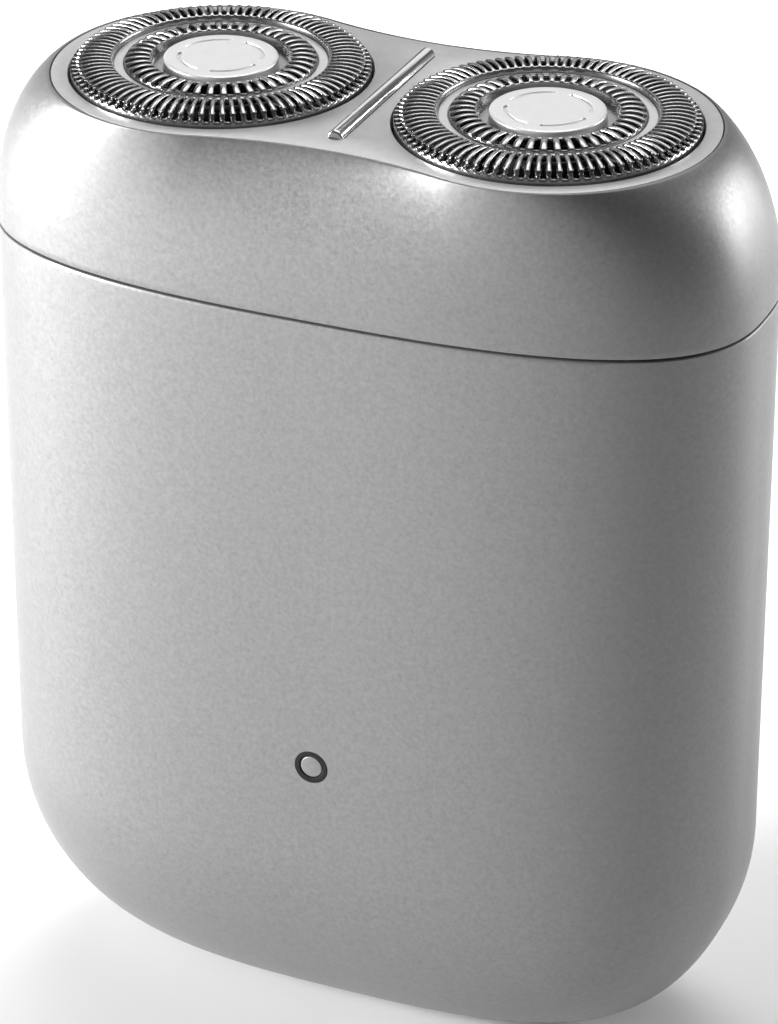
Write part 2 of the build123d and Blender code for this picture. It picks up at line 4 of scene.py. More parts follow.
import bmesh
import bpy
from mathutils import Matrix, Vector


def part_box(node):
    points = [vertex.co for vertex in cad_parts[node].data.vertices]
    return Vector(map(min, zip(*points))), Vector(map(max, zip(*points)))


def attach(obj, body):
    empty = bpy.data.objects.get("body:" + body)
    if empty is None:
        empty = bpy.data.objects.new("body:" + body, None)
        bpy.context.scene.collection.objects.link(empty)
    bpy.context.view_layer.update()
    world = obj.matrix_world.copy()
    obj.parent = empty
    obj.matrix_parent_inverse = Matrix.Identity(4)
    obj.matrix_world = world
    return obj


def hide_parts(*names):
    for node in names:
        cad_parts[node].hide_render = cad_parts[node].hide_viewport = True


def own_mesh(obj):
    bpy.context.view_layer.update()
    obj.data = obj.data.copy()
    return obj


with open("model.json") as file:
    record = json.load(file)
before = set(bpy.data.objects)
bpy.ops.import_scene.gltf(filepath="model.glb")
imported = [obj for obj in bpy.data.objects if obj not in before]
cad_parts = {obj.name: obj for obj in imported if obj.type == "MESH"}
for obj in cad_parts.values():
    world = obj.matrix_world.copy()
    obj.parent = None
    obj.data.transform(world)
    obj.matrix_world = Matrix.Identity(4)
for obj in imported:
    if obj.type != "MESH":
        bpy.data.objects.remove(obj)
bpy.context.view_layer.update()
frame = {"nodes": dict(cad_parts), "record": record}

MM = 0.001


# ---------------------------------------------------------------- sizes from the frame, in mm
def corners(node):
    """A node's lowest and highest corners, in mm."""
    low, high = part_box(node)
    return low / MM, high / MM


def middle(node):
    """The middle of a node's box, in mm."""
    low, high = corners(node)
    return (low + high) / 2


HOUSING_HIGH = corners("main_housing")[1]
HEAD_LOW = corners("head_housing")[0]
PLATE_LOW, PLATE_HIGH = corners("head_plate")
GUARD_HIGH = corners("right_foil_guard")[1]
HALF_X = HOUSING_HIGH.x
HALF_Y = HOUSING_HIGH.y
OVAL_POWER = 2.77  # exponent of the handle's superellipse
BASE_ROUND_Z = 16.3  # height below which the base rounds in
BASE_INSET_X = 15.05  # from the handle's ends in to the flat base
BASE_INSET_Y = 8.9  # from its front and back in to the flat base
SHOULDER_Z = 61.95  # height above which the head turns from oval to two-lobed
SHOULDER_POWER = 1.73  # exponent of the shoulder's curve
SHOULDER_END = 0.97  # how far along that curve the plate lies
SEAM_LIP = 0.04  # reach of each lip into the seam gap
SEAM_Z = HOUSING_HIGH.z + SEAM_LIP
HEAD_Z = HEAD_LOW.z - SEAM_LIP
PLATE_Z = PLATE_HIGH.z
HEAD_X = middle("right_foil_guard").x
LOBE_R = PLATE_HIGH.x - HEAD_X
WAIST_Y = 10.4  # half depth of the plate at its waist
RIM = 0.25  # width of the head's rim about the plate
WALL = 1.5
FLOOR = 2.0  # thickness of the handle's base
HEAD_WALL = 0.8
PLATE_LIP = 0.8  # thickness of the plate's outer band
GUARD_TOP = GUARD_HIGH.z
FLANGE_R = GUARD_HIGH.x - HEAD_X
BUTTON_Z = middle("power_button").z
AROUND = 384  # points in a section of the handle or head
POLE = 0.05  # radius of the small flat disc that closes a turned solid at its axis


# ---------------------------------------------------------------- mesh helpers
def finish_piece(bm, name, body, nodes, slot, sharp=32):
    """Turns a bmesh in mm into a piece in metres that rides on a body and stands for nodes."""
    loose = [v for v in bm.verts if not v.link_faces]
    bmesh.ops.delete(bm, geom=loose, context="VERTS")
    bmesh.ops.recalc_face_normals(bm, faces=bm.faces)
    mesh = bpy.data.meshes.new(name)
    for vert in bm.verts:
        vert.co *= MM
    bm.to_mesh(mesh)
    bm.free()
    for polygon in mesh.polygons:
        polygon.use_smooth = True
    mesh.set_sharp_from_angle(angle=radians(sharp))
    piece = bpy.data.objects.new(name, mesh)
    bpy.context.scene.collection.objects.link(piece)
    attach(piece, body)
    if nodes:
        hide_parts(*nodes)
    piece.data.materials.append(MATERIALS[slot])
    return piece


def skin(bm, rings, closed=False, skip=()):
    """Quads between rings of points; closed joins the last ring to the first.

    skip holds the (ring, column) cells that stay open.
    """
    verts = [[bm.verts.new(p) for p in ring] for ring in rings]
    count = len(rings[0])
    pairs = len(rings) if closed else len(rings) - 1
    for j in range(pairs):
        below, above = verts[j], verts[(j + 1) % len(rings)]
        for i in range(count):
            if (j, i) in skip:
                continue
            k = (i + 1) % count
            bm.faces.new((below[i], below[k], above[k], above[i]))
    return verts


def turn(i, count):
    """The cosine and sine of the i-th of count even steps around."""
    angle = 2 * pi * i / count
    return cos(angle), sin(angle)


def circle(radius, z, steps, x=0, y=0):
    """A level ring of points about an upright axis."""
    points = []
    for i in range(steps):
        c, s = turn(i, steps)
        points.append((x + radius * c, y + radius * s, z))
    return points


def lathe(bm, profile, steps, x=0, y=0, closed=True):
    """A solid of revolution about an upright axis, from (radius, z) points."""
    return skin(bm, [circle(r, z, steps, x, y) for r, z in profile], closed=closed)


def close_ends(bm, verts):
    """Flat faces over the first and last rings of a skin."""
    for end in (verts[0], verts[-1]):
        bm.faces.new(end)


def rounded(points, radius, steps=4):
    """A path of (r, z) points with each inner corner replaced by a short curve."""
    path = [points[0]]
    for before, at, after in zip(points, points[1:], points[2:]):
        a, b, c = Vector(before), Vector(at), Vector(after)
        one, two = (a - b), (c - b)
        reach = min(radius, one.length * 0.45, two.length * 0.45)
        start, end = b + one.normalized() * reach, b + two.normalized() * reach
        for i in range(steps + 1):
            t = i / steps
            p = start * (1 - t) ** 2 + b * 2 * t * (1 - t) + end * t**2
            path.append((p.x, p.y))
    path.append(points[-1])
    return path


def fill_flat(bm, loops, z_up=True):
    """One flat face region between an outer loop of verts and its holes."""
    edges = []
    for loop in loops:
        for a, b in zip(loop, loop[1:] + loop[:1]):
            edges.append(bm.edges.get((a, b)) or bm.edges.new((a, b)))
    normal = (0, 0, 1) if z_up else (0, 0, -1)
    bmesh.ops.triangle_fill(bm, use_beauty=True, edges=edges, normal=normal)


# ---------------------------------------------------------------- outlines, in mm
def oval(half_x, half_y, z):
    """The handle's superellipse section."""
    ring = []
    for i in range(AROUND):
        c, s = turn(i, AROUND)
        reach = (abs(c) ** OVAL_POWER + abs(s) ** OVAL_POWER) ** (-1 / OVAL_POWER)
        ring.append((half_x * reach * c, half_y * reach * s, z))
    return ring


def oval_y(x, half_x, half_y):
    """Half depth of the handle's section at x."""
    return half_y * max(1 - abs(x / half_x) ** OVAL_POWER, 0.0) ** (1 / OVAL_POWER)


def lobed_y(x, lobe_r, waist_y):
    """Half depth of the two-lobed outline: round ends joined by hollow tangent arcs."""
    hollow_r = (waist_y**2 + HEAD_X**2 - lobe_r**2) / (2 * (lobe_r - waist_y))
    tangent_x = HEAD_X * hollow_r / (hollow_r + lobe_r)
    if abs(x) < tangent_x:
        return waist_y + hollow_r - sqrt(hollow_r**2 - x**2)
    return sqrt(max(lobe_r**2 - (abs(x) - HEAD_X) ** 2, 0.0))


def shoulder_share(z):
    """How far the section has gone from the oval to the two-lobed outline, 0 to 1."""
    def rounding(t):
        return 1 - (1 - t**SHOULDER_POWER) ** (1 / SHOULDER_POWER)

    t = SHOULDER_END * (z - SHOULDER_Z) / (PLATE_Z - SHOULDER_Z)
    return rounding(min(max(t, 0.0), 1.0)) / rounding(SHOULDER_END)


def head_section(z, inset=0.0):
    """The head's outline at height z."""
    share = shoulder_share(z)
    half_x, half_y = HALF_X - inset, HALF_Y - inset
    lobe_r, waist_y = LOBE_R + RIM - inset, WAIST_Y + RIM - inset
    ring = []
    for x, y, _ in oval(half_x, half_y, z):
        top_x = x / half_x * (HEAD_X + lobe_r)
        top_y = lobed_y(top_x, lobe_r, waist_y) * (1 if y >= 0 else -1)
        ring.append((x + (top_x - x) * share, y + (top_y - y) * share, z))
    return ring


def lobed(lobe_r, waist_y, z):
    """The two-lobed outline, with its points in step with the oval's."""
    ring = []
    for x, y, _ in oval(1.0, 1.0, z):
        top_x = x * (HEAD_X + lobe_r)
        top_y = lobed_y(top_x, lobe_r, waist_y) * (1 if y >= 0 else -1)
        ring.append((top_x, top_y, z))
    return ring


def handle_section(z, inset=0.0):
    """The handle's outline at height z, drawn in below the start of the rounded base."""
    t = min(max((BASE_ROUND_Z - z) / BASE_ROUND_Z, 0.0), 1.0)
    drawn_in = 1 - sqrt(1 - t * t)
    half_x = HALF_X - BASE_INSET_X * drawn_in - inset
    half_y = HALF_Y - BASE_INSET_Y * drawn_in - inset
    return oval(half_x, half_y, z)


def stadium(length, width, z):
    """A slot outline, with its points in step with the oval's."""
    radius = width / 2
    straight = (length - width) / 2
    ring = []
    for x, y, _ in oval(length / 2, width / 2, z):
        angle = atan2(y / width, x / length)
        if abs(x) > straight:
            side = 1 if x > 0 else -1
            dx, dy = x - side * straight, y
            reach = radius / max(hypot(dx, dy), 1e-9)
            ring.append((side * straight + dx * reach, dy * reach, z))
        else:
            ring.append((x, radius if angle > 0 else -radius, z))
    return ring


def mix(ring_a, ring_b, share):
    """The outline that lies that share of the way from ring_a to ring_b."""
    return [tuple(Vector(a).lerp(Vector(b), share)) for a, b in zip(ring_a, ring_b)]


# ---------------------------------------------------------------- materials
def new_material(name):
    """A material with its node tree and its shader node."""
    material = bpy.data.materials.new(name)
    material.use_nodes = True
    tree = material.node_tree
    shader = tree.nodes["Principled BSDF"]
    return material, tree, shader


def add(tree, kind, **values):
    """A new shader node, each value set on its input of that name or else on the node."""
    node = tree.nodes.new(kind)
    for key, value in values.items():
        if key in node.inputs:
            node.inputs[key].default_value = value
        else:
            setattr(node, key, value)
    return node


def noise(tree, scale, detail=3.0, stretch=None):
    """A noise texture in the piece's own metres; scale is in cells per metre."""
    place = add(tree, "ShaderNodeTexCoord")
    out = place.outputs["Object"]
    if stretch:
        mapping = add(tree, "ShaderNodeMapping")
        mapping.inputs["Scale"].default_value = stretch
        tree.links.new(out, mapping.inputs["Vector"])
        out = mapping.outputs["Vector"]
    node = add(tree, "ShaderNodeTexNoise", Scale=scale, Detail=detail, Roughness=0.6)
    tree.links.new(out, node.inputs["Vector"])
    return node.outputs["Fac"]


def spread(tree, source, low, high, from_low=0.3, from_high=0.7):
    """Maps a 0 to 1 pattern to the range low to high."""
    node = add(tree, "ShaderNodeMapRange")
    node.inputs["From Min"].default_value = from_low
    node.inputs["From Max"].default_value = from_high
    node.inputs["To Min"].default_value = low
    node.inputs["To Max"].default_value = high
    tree.links.new(source, node.inputs["Value"])
    return node.outputs["Result"]


def tint(tree, source, dark, light):
    """A colour between dark and light, as source goes from 0 to 1."""
    node = add(tree, "ShaderNodeMix", data_type="RGBA")
    for name, colour in (("A", dark), ("B", light)):
        socket = [s for s in node.inputs if s.name == name and s.type == "RGBA"][0]
        socket.default_value = (*colour, 1)
    tree.links.new(source, node.inputs["Factor"])
    return [s for s in node.outputs if s.type == "RGBA"][0]


def bump(tree, shader, source, strength, distance):
    """A fine relief on the shader's normal."""
    node = add(tree, "ShaderNodeBump", Strength=strength, Distance=distance)
    tree.links.new(source, node.inputs["Height"])
    tree.links.new(node.outputs["Normal"], shader.inputs["Normal"])


FINE_SHARE = 0.7  # share of the fine grain in a finish, against the broad mottle


def finish_material(name, dark, light, rough, metal=0.0, grain=3000, mottle=400,
                    relief=0.2, depth=0.00001, stretch=None, coat=0.0, gloss=0.5):
    """A procedural finish: mottled colour, uneven roughness and a fine relief."""
    material, tree, shader = new_material(name)
    fine = noise(tree, grain, stretch=stretch)
    broad = noise(tree, mottle, detail=4.0)
    blend = add(tree, "ShaderNodeMath", operation="MULTIPLY_ADD")
    tree.links.new(fine, blend.inputs[0])
    blend.inputs[1].default_value = FINE_SHARE
    tree.links.new(spread(tree, broad, 0.0, 1 - FINE_SHARE), blend.inputs[2])
    pattern = spread(tree, blend.outputs[0], 0.0, 1.0, 0.25, 0.75)
    tree.links.new(tint(tree, pattern, dark, light), shader.inputs["Base Color"])
    tree.links.new(spread(tree, fine, *rough), shader.inputs["Roughness"])
    shader.inputs["Metallic"].default_value = metal
    shader.inputs["Coat Weight"].default_value = coat
    shader.inputs["Specular IOR Level"].default_value = gloss
    bump(tree, shader, fine, relief, depth)
    return material


def grey(value):
    """A grey with a trace of blue."""
    return (value, value, value * 1.005)


def make_materials():
    """One material for each of the record's slots."""
    made = {}

    def put(slot, *args, **options):
        made[slot] = finish_material(slot, *args, **options)

    put("housing_metal", grey(0.20), grey(0.26), (0.38, 0.48), metal=0.5, grain=3600,
        mottle=2500, relief=0.4, depth=0.00002)
    put("button_metal", grey(0.20), grey(0.26), (0.38, 0.48), metal=0.5, grain=3600,
        mottle=2500, relief=0.35, depth=0.00002)
    put("plate_metal", grey(0.54), grey(0.62), (0.40, 0.50), metal=0.5, grain=6000,
        mottle=1200, relief=0.2, depth=0.00001)
    put("guard_steel", grey(0.34), grey(0.40), (0.20, 0.28), metal=1.0, grain=9000,
        mottle=1500, relief=0.03, depth=0.000003)
    put("cap_metal", grey(0.86), grey(0.92), (0.28, 0.36), metal=0.5, grain=8000,
        mottle=1500, relief=0.08, depth=0.000005)
    put("bar_steel", grey(0.82), grey(0.9), (0.10, 0.16), metal=1.0, grain=6000,
        mottle=900, relief=0.05, depth=0.000004, stretch=(1, 0.05, 1))
    put("blade_steel", grey(0.12), grey(0.2), (0.3, 0.4), metal=1.0, grain=7000)
    put("black_rubber", grey(0.006), grey(0.014), (0.6, 0.8), grain=5000, relief=0.2,
        gloss=0.2)
    put("black_plastic", grey(0.014), grey(0.030), (0.38, 0.52), grain=5000, relief=0.25)
    put("grey_plastic", grey(0.16), grey(0.2), (0.4, 0.55), grain=4500, relief=0.25)
    put("white_plastic", grey(0.52), grey(0.6), (0.3, 0.42), grain=4000, relief=0.12)
    put("port_steel", grey(0.45), grey(0.56), (0.22, 0.34), metal=1.0, grain=5000,
        stretch=(1, 1, 0.1))
    put("steel", grey(0.45), grey(0.58), (0.25, 0.38), metal=1.0, grain=5000)
    put("spring_steel", grey(0.4), grey(0.5), (0.2, 0.3), metal=1.0, grain=5000)
    put("board_green", (0.01, 0.10, 0.035), (0.015, 0.14, 0.05), (0.25, 0.4), grain=1500)
    put("chip_black", grey(0.018), grey(0.03), (0.45, 0.6), grain=5000)
    put("led_clear", (0.8, 0.78, 0.6), (0.9, 0.88, 0.7), (0.2, 0.3), grain=3000)
    put("cell_wrap", (0.02, 0.10, 0.28), (0.03, 0.13, 0.34), (0.2, 0.3), grain=1200,
        coat=0.3)
    put("nickel", grey(0.55), grey(0.66), (0.25, 0.4), metal=1.0, grain=4000)
    put("brass", (0.62, 0.44, 0.16), (0.72, 0.54, 0.22), (0.22, 0.34), metal=1.0,
        grain=4000)
    put("magnet_nickel", grey(0.6), grey(0.7), (0.12, 0.2), metal=1.0, grain=4000)
    put("lead_sleeve", (0.35, 0.01, 0.01), (0.5, 0.02, 0.02), (0.35, 0.5), grain=3000)
    return made


def floor_material():
    material, tree, shader = new_material("pale_floor")
    broad = noise(tree, 30, detail=2.0)
    colour = tint(tree, spread(tree, broad, 0.0, 1.0), (0.86, 0.86, 0.86), (0.90, 0.90, 0.90))
    tree.links.new(colour, shader.inputs["Base Color"])
    tree.links.new(spread(tree, broad, 0.7, 0.8), shader.inputs["Roughness"])
    return material


MATERIALS = make_materials()


# ---------------------------------------------------------------- handle
PORT_SLOT = (9.74, 4.06)
PORT_BEZEL = (9.72, 4.04)
PORT_MOUTH = (9.04, 3.36)
HOLE_GAP = 0.02  # between the seal ring and the round hole in the wall
PATCH_COLUMNS = 5  # columns of the wall to each side of the button that its patch takes
PATCH_ROWS = 5  # rows above and below it
PATCH_ROW = 0.5  # height of such a row


def patched_hole(bm, verts, rows, columns, radius, half_x, half_y):
    """Fills a square gap in the front wall with rings that close in to a round hole."""
    j0, j1 = rows
    i0, i1 = columns
    loop = [verts[j0][i] for i in range(i0, i1)]
    loop += [verts[j][i1] for j in range(j0, j1)]
    loop += [verts[j1][i] for i in range(i1, i0, -1)]
    loop += [verts[j][i0] for j in range(j1, j0, -1)]
    rings = [loop]
    steps = 4
    for step in range(1, steps + 1):
        ring = []
        for vert in loop:
            angle = atan2(vert.co.z - BUTTON_Z, vert.co.x)
            share = step / steps
            x = vert.co.x * (1 - share) + radius * cos(angle) * share
            z = vert.co.z * (1 - share) + (BUTTON_Z + radius * sin(angle)) * share
            ring.append(bm.verts.new((x, -oval_y(x, half_x, half_y), z)))
        rings.append(ring)
    join_rings(bm, rings)
    return rings[-1]


def join_rings(bm, rings):
    """Quads between rings of verts that are already in the mesh."""
    for inner, outer in zip(rings, rings[1:]):
        count = len(inner)
        for i in range(count):
            k = (i + 1) % count
            bm.faces.new((inner[i], inner[k], outer[k], outer[i]))


def handle_heights():
    """Heights of the straight wall's rings, closer together about the button."""
    low, high = BUTTON_Z - PATCH_ROWS * PATCH_ROW, BUTTON_Z + PATCH_ROWS * PATCH_ROW
    below = [BASE_ROUND_Z + (low - BASE_ROUND_Z) * i / 4 for i in range(5)]
    beside = [low + PATCH_ROW * i for i in range(1, 2 * PATCH_ROWS + 1)]
    above = [high + (SEAM_Z - 0.3 - high) * i / 24 for i in range(1, 25)]
    return below, beside, above


def rounding_heights(low, steps):
    """Heights of the base rounding's rings from low up, closer together near the base."""
    start = acos((BASE_ROUND_Z - low) / BASE_ROUND_Z)
    angles = [start + (pi / 2 - start) * i / steps for i in range(steps)]
    return [BASE_ROUND_Z * (1 - cos(a)) for a in angles]


def handle_shell():
    """The cup: port slot, flat base, rounded foot, straight wall, lip, and the same inside."""
    bm = bmesh.new()
    below, beside, above = handle_heights()
    base = handle_section(0.0)
    rings = [stadium(*PORT_SLOT, FLOOR), stadium(*PORT_SLOT, 0.15)]
    rings.append(stadium(PORT_SLOT[0] + 0.3, PORT_SLOT[1] + 0.3, 0.0))
    rings += [mix(rings[-1], base, share) for share in (0.35, 0.7)]
    outer = rounding_heights(0.0, 30) + below
    rings += [handle_section(z) for z in outer]
    first_row = len(rings) - 1
    rings += [handle_section(z) for z in beside + above]
    lip = 0.12
    for step in range(1, 5):
        angle = pi / 2 * step / 4
        rings.append(handle_section(SEAM_Z - lip * (1 - sin(angle)), lip * (1 - cos(angle))))
    rings.append(handle_section(SEAM_Z, WALL - lip))
    rings.append(handle_section(SEAM_Z - lip, WALL))
    rings += [handle_section(z, WALL) for z in reversed(beside + above)]
    last_row = len(rings)
    rings += [handle_section(z, WALL) for z in reversed(below)]
    inner_foot = rounding_heights(FLOOR, 14)
    rings += [handle_section(z, WALL) for z in reversed(inner_foot)]
    column = AROUND * 3 // 4
    columns = (column - PATCH_COLUMNS, column + PATCH_COLUMNS)
    outer_rows = (first_row, first_row + 2 * PATCH_ROWS)
    inner_rows = (last_row - 2 * PATCH_ROWS, last_row)
    skip = set()
    for j0, j1 in (outer_rows, inner_rows):
        skip |= {(j, i) for j in range(j0, j1) for i in range(*columns)}
    verts = skin(bm, rings, closed=True, skip=skip)
    radius = SEAL_R + HOLE_GAP
    outer_hole = patched_hole(bm, verts, outer_rows, columns, radius, HALF_X, HALF_Y)
    inner_hole = patched_hole(bm, verts, inner_rows, columns, radius,
                              HALF_X - WALL, HALF_Y - WALL)
    bridge_holes(bm, outer_hole, inner_hole)
    return finish_piece(bm, "handle_shell", "handle", ["main_housing"], "housing_metal")


def bridge_holes(bm, outer, inner):
    """Joins two round holes whose points may run opposite ways."""
    matched = []
    for vert in outer:
        matched.append(min(inner, key=lambda v: hypot(v.co.x - vert.co.x, v.co.z - vert.co.z)))
    join_rings(bm, [outer, matched])


BUTTON_R = 0.85
BUTTON_FLANGE_R = 1.6
BUTTON_STEM_R = 0.6
BUTTON_DEPTHS = (13.27, 10.9, 10.3, 9.6)  # face, flange front, flange back, stem end, from y = 0
SEAL_R = 1.3
SEAL_BORE = 0.9
SEAL_FLANGE_R = 2.1
SEAL_DEPTHS = (13.29, 11.75, 11.25)  # face, flange front, flange back, from y = 0


def button_parts():
    """The black seal ring and the metal cap that travels inside it."""
    def upright(profile, name, body, node, slot, solid=False):
        bm = bmesh.new()
        verts = lathe(bm, profile, 96, closed=not solid)
        if solid:
            close_ends(bm, verts)
        for vert in bm.verts:
            x, y, z = vert.co
            vert.co = (x, -z, BUTTON_Z + y)
        return finish_piece(bm, name, body, [node], slot)

    face, front, back = SEAL_DEPTHS
    ring = rounded([(SEAL_BORE, back), (SEAL_BORE, face), (SEAL_R, face), (SEAL_R, front),
                    (SEAL_FLANGE_R, front), (SEAL_FLANGE_R, back), (SEAL_BORE, back)], 0.08)
    upright(ring[:-1], "button_ring", "handle", "button_seal", "black_rubber")
    face, front, back, end = BUTTON_DEPTHS
    cap = rounded([(POLE, face), (BUTTON_R, face), (BUTTON_R, front), (BUTTON_FLANGE_R, front),
                   (BUTTON_FLANGE_R, back), (BUTTON_STEM_R, back), (BUTTON_STEM_R, end),
                   (POLE, end)], 0.1)
    upright(cap, "button_cap", "button", "power_button", "button_metal", solid=True)


def bezel():
    """The black surround of the charging port, rounded at its mouth."""
    bm = bmesh.new()
    rings = [stadium(*PORT_MOUTH, FLOOR), stadium(*PORT_MOUTH, 0.12)]
    rings.append(stadium(PORT_MOUTH[0] + 0.2, PORT_MOUTH[1] + 0.2, 0.02))
    rings.append(stadium(PORT_BEZEL[0] - 0.1, PORT_BEZEL[1] - 0.1, 0.02))
    rings += [stadium(*PORT_BEZEL, 0.07), stadium(*PORT_BEZEL, FLOOR)]
    skin(bm, rings, closed=True)
    finish_piece(bm, "port_surround", "handle", ["port_bezel"], "black_plastic")


# ---------------------------------------------------------------- head
RIB_HEIGHT = 0.8  # the rib inside the head starts level with the plate's lowest point
RIB_DEPTH = 0.7


def head_shell():
    """Outer wall, rim about the plate, mouth and ledge, then the inner wall with its rib."""
    bm = bmesh.new()
    lip, rim = 0.1, 0.07
    rings = [head_section(HEAD_Z, HEAD_WALL - lip), head_section(HEAD_Z, lip)]
    rings.append(head_section(HEAD_Z + 0.03, lip * 0.3))
    rings.append(head_section(HEAD_Z + lip, 0.0))
    steps = 44
    for i in range(1, steps + 1):
        angle = pi / 2 * i / steps
        z = HEAD_Z + lip + (PLATE_Z - rim - HEAD_Z - lip) * sin(angle)
        rings.append(head_section(z))
    rings.append(lobed(LOBE_R + RIM - rim * 0.3, WAIST_Y + RIM - rim * 0.3, PLATE_Z - rim * 0.3))
    rings.append(lobed(LOBE_R + RIM - rim, WAIST_Y + RIM - rim, PLATE_Z))
    mouth = 0.06
    rings.append(lobed(LOBE_R + mouth + 0.04, WAIST_Y + mouth + 0.04, PLATE_Z))
    rings.append(lobed(LOBE_R + mouth, WAIST_Y + mouth, PLATE_Z - 0.05))
    ledge_z = PLATE_Z - PLATE_LIP
    rings.append(lobed(LOBE_R + mouth, WAIST_Y + mouth, ledge_z))
    rib_low, rib_high = PLATE_LOW.z, PLATE_LOW.z + RIB_HEIGHT
    upper = [ledge_z] + [rib_high + rise for rise in (5.15, 4.15, 2.95, 1.55, 0)]
    lower = [rib_low, rib_low - 1.65, rib_low - 2.75, HEAD_Z + lip]
    rings += [head_section(z, HEAD_WALL) for z in upper]
    rings += [head_section(z, HEAD_WALL + RIB_DEPTH) for z in (rib_high, rib_low)]
    rings += [head_section(z, HEAD_WALL) for z in lower]
    skin(bm, rings, closed=True)
    finish_piece(bm, "head_shell", "head", ["head_housing"], "housing_metal")


GUARD_HOLE_R = 10.95
TROUGH_X = 0.66  # half width of the trough about the rod
TROUGH_Y = 8.62  # its half length
TROUGH_DEPTH = 0.7
PLATE_T = 1.2
PLATE_STEP = 1.0  # width of the plate's thinner outer band
BOSS_Y = 8.0
BOSS_R = 1.4
BOSS_BORE = 0.6


def top_plate():
    """The pale plate: two guard holes, a trough for the rod, a step and two screw bosses."""
    bm = bmesh.new()
    edge = 0.06
    low = PLATE_Z - PLATE_LIP
    foot = PLATE_Z - PLATE_T
    outline = [lobed(LOBE_R - PLATE_STEP, WAIST_Y - PLATE_STEP, z) for z in (foot, low)]
    outline += [lobed(LOBE_R, WAIST_Y, low), lobed(LOBE_R, WAIST_Y, PLATE_Z - edge)]
    outline.append(lobed(LOBE_R - edge * 0.3, WAIST_Y - edge * 0.3, PLATE_Z - edge * 0.3))
    outline.append(lobed(LOBE_R - edge, WAIST_Y - edge, PLATE_Z))
    wall = skin(bm, outline)
    tops, bottoms = [wall[-1]], [wall[0]]
    for x in (-HEAD_X, HEAD_X):
        profile = [(GUARD_HOLE_R, foot), (GUARD_HOLE_R, PLATE_Z - edge),
                   (GUARD_HOLE_R + edge * 0.3, PLATE_Z - edge * 0.3),
                   (GUARD_HOLE_R + edge, PLATE_Z)]
        hole = lathe(bm, profile, 256, x=x, closed=False)
        tops.append(hole[-1])
        bottoms.append(hole[0])
    trough = [trough_loop(z) for z in (PLATE_Z - TROUGH_DEPTH, PLATE_Z)]
    walls = skin(bm, trough)
    tops.append(walls[-1])
    bm.faces.new(walls[0])
    fill_flat(bm, tops)
    fill_flat(bm, bottoms, z_up=False)
    for y in (-BOSS_Y, BOSS_Y):
        boss = [(BOSS_BORE, PLATE_LOW.z), (BOSS_R, PLATE_LOW.z), (BOSS_R, foot + edge),
                (BOSS_BORE, foot + edge)]
        lathe(bm, boss, 48, y=y)
    finish_piece(bm, "top_plate", "head", ["head_plate"], "plate_metal")


def trough_loop(z):
    """A long slot outline with round ends about the rod."""
    ring = []
    steps = 12
    for side in (1, -1):
        for i in range(steps + 1):
            angle = pi * i / steps if side > 0 else pi + pi * i / steps
            y = side * (TROUGH_Y - TROUGH_X) + TROUGH_X * sin(angle)
            ring.append((TROUGH_X * cos(angle), y, z))
    return ring


def guide_bar():
    """The polished rod along Y, turned about the vertical axis and then laid down."""
    bm = bmesh.new()
    low, high = corners("skin_guide_bar")
    radius = (high.x - low.x) / 2
    centre_z = (high.z + low.z) / 2
    profile = rounded([(POLE, low.y), (radius, low.y), (radius, high.y), (POLE, high.y)], 0.22, 6)
    close_ends(bm, lathe(bm, profile, 64, closed=False))
    for vert in bm.verts:
        x, y, z = vert.co
        vert.co = (x, z, centre_z + y)
    finish_piece(bm, "guide_bar", "head", ["skin_guide_bar"], "bar_steel", sharp=50)


# ---------------------------------------------------------------- shaving guards
OUTER_SLOTS = 88
INNER_SLOTS = 44
GUARD_STEPS = OUTER_SLOTS * 8
# angular cells from one slot of a track to the next
PITCH = {"outer": GUARD_STEPS // OUTER_SLOTS, "inner": GUARD_STEPS // INNER_SLOTS}
GUARD_R = 10.75  # radius of the skirt
FOIL = 0.3  # thickness of the sheet
RIB_ROUND = 0.05  # fall of a rib's top from its crest to its edges


def crowned(start, end, crest, start_drop, end_drop, steps, kind):
    """(radius, drop, kind) over a track's rounded top, in from start to end by way of crest."""
    points = []
    for i in range(steps + 1):
        radius = start + (end - start) * i / steps
        reach, drop = (start - crest, start_drop) if radius > crest else (end - crest, end_drop)
        points.append((radius, drop * ((radius - crest) / reach) ** 2, kind))
    return points


def guard_profile():
    """(radius, z, slot kind) from the flange and up the skirt to the middle."""
    skirt = [
        (FLANGE_R, 2.45, None), (GUARD_R, 2.45, None), (GUARD_R, 1.03, None),
        (GUARD_R, 0.81, "outer"), (10.72, 0.71, "outer"), (10.64, 0.65, "outer"),
        (10.48, 0.65, "outer"), (10.31, 0.64, "outer"), (10.25, 0.58, "outer"),
        (10.25, 0.47, "outer"), (10.31, 0.36, "outer"),
    ]
    outer = crowned(10.34, 8.1, 8.9, 0.29, 0.07, 9, "outer")
    groove = [
        (7.86, 0.13, None), (7.78, 0.2, None), (7.74, 0.3, None), (7.7, 0.53, None),
        (7.64, 0.59, None), (6.98, 0.59, None), (6.9, 0.53, None), (6.87, 0.35, "inner"),
    ]
    inner = crowned(6.8, 5.15, 5.75, 0.23, 0.07, 6, "inner")
    centre = [
        (5.02, 0.13, None), (4.96, 0.2, None), (4.94, 0.35, None), (4.92, 0.73, None),
        (4.86, 0.79, None), (1.2, 0.8, None),
    ]
    below_top = skirt + outer + groove + inner + centre
    return [(radius, GUARD_TOP - drop, kind) for radius, drop, kind in below_top]


def in_slot(step, kind):
    """Whether the angular cell at step lies in a slot of that kind."""
    return step % PITCH[kind] >= PITCH[kind] // 2


def rib_drop(step, kind):
    """How far a rib's rounded top falls away from its crest, in mm."""
    half = PITCH[kind] / 4
    from_crest = abs(step % PITCH[kind] - half)
    return RIB_ROUND * min(from_crest / half, 1.0) ** 2


